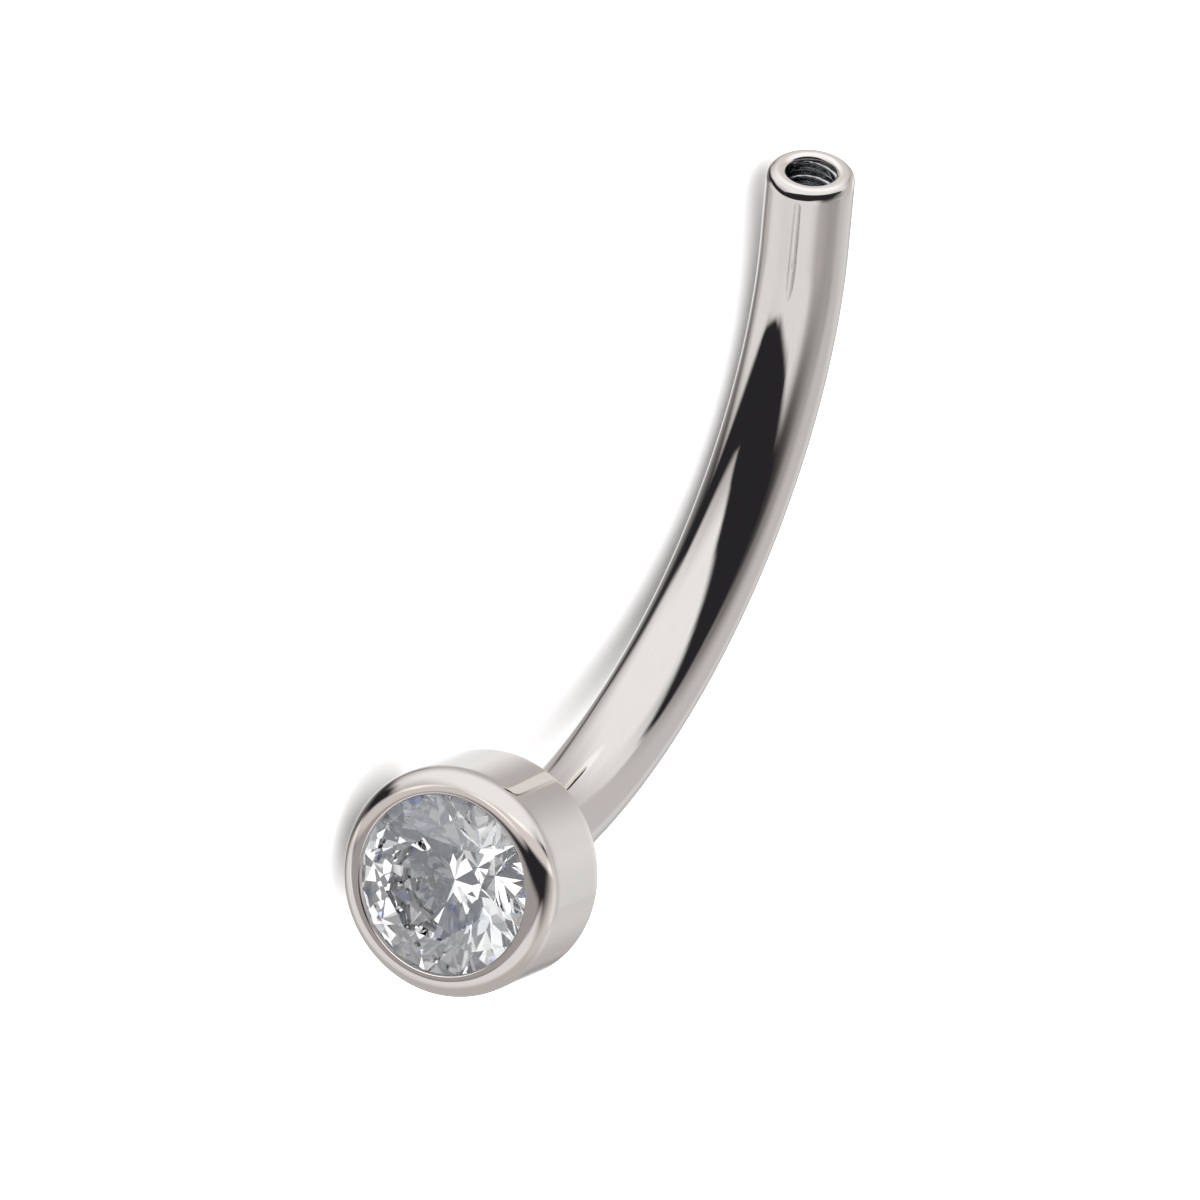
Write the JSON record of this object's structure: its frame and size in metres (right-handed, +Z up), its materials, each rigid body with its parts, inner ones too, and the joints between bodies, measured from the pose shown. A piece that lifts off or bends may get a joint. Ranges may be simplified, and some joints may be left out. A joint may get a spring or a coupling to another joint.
{
  "type": "curved eyebrow barbell",
  "caption": "Curved bar of polished metal with a round clear stone in a bezel cup at one end and an internally threaded open end.",
  "frame": {"origin": "on the floor below the middle of the jewel's box, with the jewel lying on its side as it rests by itself", "axes": "+Z up; +X along the line from the open end to the cup, seen from above, which is the longest extent; the bend's outside is towards +Y and the cup's open side looks to +X, -Y and slightly up"},
  "size_m": [0.0128, 0.0048, 0.0033],
  "materials": {
    "metal": "mirror polished titanium, warm light grey",
    "stone": "clear, faceted and polished"
  },
  "bodies": {
    "root": {"bar_and_cup": "metal", "stone": "stone"}
  },
  "joints": []
}
